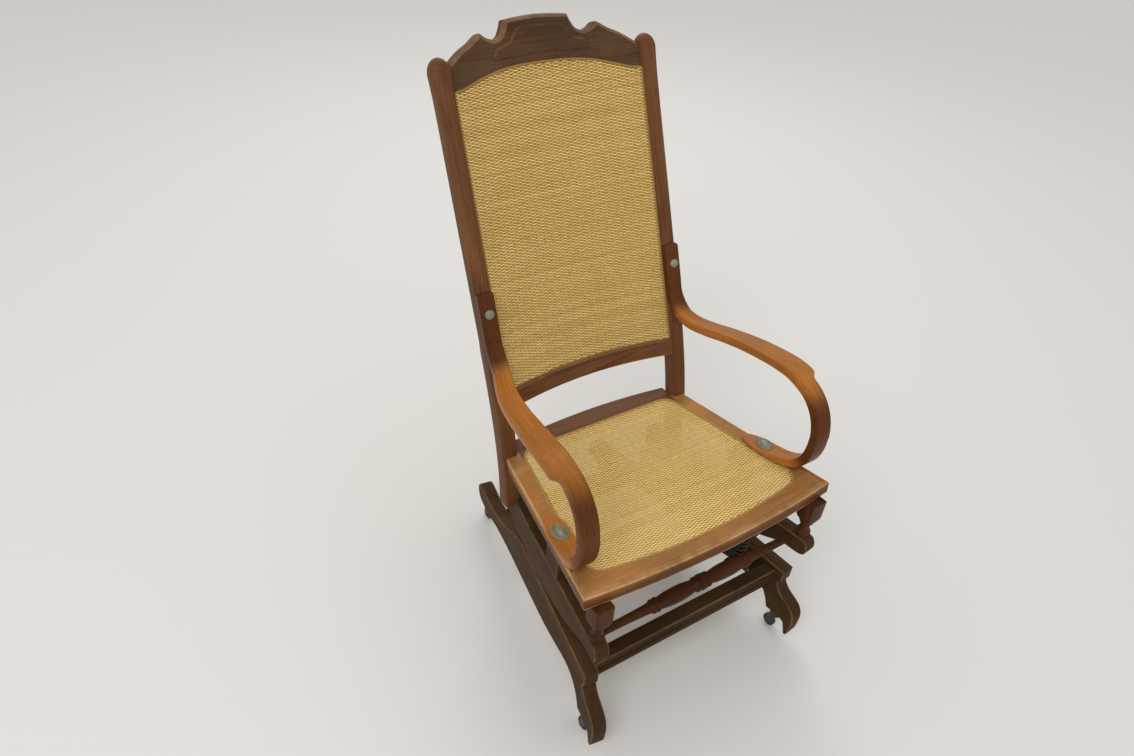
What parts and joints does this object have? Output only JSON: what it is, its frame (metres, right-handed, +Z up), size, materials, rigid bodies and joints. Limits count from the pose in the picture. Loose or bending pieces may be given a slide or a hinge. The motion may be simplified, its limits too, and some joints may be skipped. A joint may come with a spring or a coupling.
{
  "type": "platform rocker",
  "caption": "Platform rocker: woven cane chair with bentwood arms, rocking on a fixed base with coil springs and casters.",
  "frame": {"origin": "on the floor, under the middle of the chair's whole width and depth", "axes": "+Z up, the chair's front faces -Y, +X to the right when looking along +Y"},
  "size_m": [0.554, 0.7557, 1.1063],
  "materials": {
    "dark_wood": "dark brown stained hardwood, worn satin varnish",
    "red_wood": "reddish brown hardwood under glossy old varnish",
    "honey_wood": "honey brown hardwood, varnish worn thin",
    "woven_cane": "golden close woven cane",
    "iron": "dark aged iron",
    "bronze": "dull greenish brown patina",
    "caster_black": "black painted"
  },
  "bodies": {
    "base": {"base_side_left": "dark_wood", "base_side_right": "dark_wood", "base_front_rail": "dark_wood", "base_back_rail": "dark_wood", "lower_brackets_left": "iron", "lower_brackets_right": "iron", "base_screws": "iron", "caster_sockets": "iron", "spring_front_left": "iron", "spring_front_right": "iron", "spring_back_left": "iron", "spring_back_right": "iron"},
    "chair": {"rocker_left": "dark_wood", "rocker_right": "dark_wood", "front_post_left": "red_wood", "front_post_right": "red_wood", "seat_block_left": "dark_wood", "seat_block_right": "dark_wood", "back_post_left": "red_wood", "back_post_right": "red_wood", "front_stretcher": "red_wood", "back_stretcher": "dark_wood", "seat_front_rail": "honey_wood", "seat_back_rail": "red_wood", "seat_side_rail_left": "honey_wood", "seat_side_rail_right": "honey_wood", "seat_cane": "woven_cane", "seat_spline": "woven_cane", "crest_rail": "dark_wood", "crest_panel": "dark_wood", "cross_rail": "dark_wood", "back_cane": "woven_cane", "back_spline": "woven_cane", "arm_left": "red_wood", "arm_right": "red_wood", "arm_strip_left": "red_wood", "arm_strip_right": "red_wood", "arm_bolts": "bronze", "arm_nuts": "bronze", "arm_rosettes": "bronze", "upper_brackets_left": "iron", "upper_brackets_right": "iron", "rocker_screws": "iron"},
    "caster_front_left": {"caster_fork_front_left": "bronze", "caster_axle_front_left": "iron"},
    "caster_front_right": {"caster_fork_front_right": "bronze", "caster_axle_front_right": "iron"},
    "caster_back_left": {"caster_fork_back_left": "bronze", "caster_axle_back_left": "iron"},
    "caster_back_right": {"caster_fork_back_right": "bronze", "caster_axle_back_right": "iron"},
    "wheel_front_left": {"caster_wheel_front_left": "caster_black"},
    "wheel_front_right": {"caster_wheel_front_right": "caster_black"},
    "wheel_back_left": {"caster_wheel_back_left": "caster_black"},
    "wheel_back_right": {"caster_wheel_back_right": "caster_black"}
  },
  "joints": [
    {"name": "rock", "type": "hinge", "parent": "base", "child": "chair", "pos_m": [0, -0.06976, 0.1925], "axis": [1, 0, 0], "range_deg": [-6, 8], "stiffness_Nm_per_rad": 110, "springref_deg": 2.12, "deforming": ["spring_front_left", "spring_front_right", "spring_back_left", "spring_back_right"]},
    {"name": "swivel_front_left", "type": "hinge", "parent": "base", "child": "caster_front_left", "pos_m": [-0.2377, -0.32918, 0.046], "axis": [0, 0, 1], "continuous": true},
    {"name": "roll_front_left", "type": "hinge", "parent": "caster_front_left", "child": "wheel_front_left", "pos_m": [-0.2377, -0.32018, 0.014], "axis": [1, 0, 0], "continuous": true},
    {"name": "swivel_front_right", "type": "hinge", "parent": "base", "child": "caster_front_right", "pos_m": [0.2377, -0.32918, 0.046], "axis": [0, 0, 1], "continuous": true},
    {"name": "roll_front_right", "type": "hinge", "parent": "caster_front_right", "child": "wheel_front_right", "pos_m": [0.2377, -0.32018, 0.014], "axis": [1, 0, 0], "continuous": true},
    {"name": "swivel_back_left", "type": "hinge", "parent": "base", "child": "caster_back_left", "pos_m": [-0.16182, 0.23169, 0.046], "axis": [0, 0, 1], "continuous": true},
    {"name": "roll_back_left", "type": "hinge", "parent": "caster_back_left", "child": "wheel_back_left", "pos_m": [-0.16182, 0.24069, 0.014], "axis": [1, 0, 0], "continuous": true},
    {"name": "swivel_back_right", "type": "hinge", "parent": "base", "child": "caster_back_right", "pos_m": [0.16182, 0.23169, 0.046], "axis": [0, 0, 1], "continuous": true},
    {"name": "roll_back_right", "type": "hinge", "parent": "caster_back_right", "child": "wheel_back_right", "pos_m": [0.16182, 0.24069, 0.014], "axis": [1, 0, 0], "continuous": true}
  ]
}
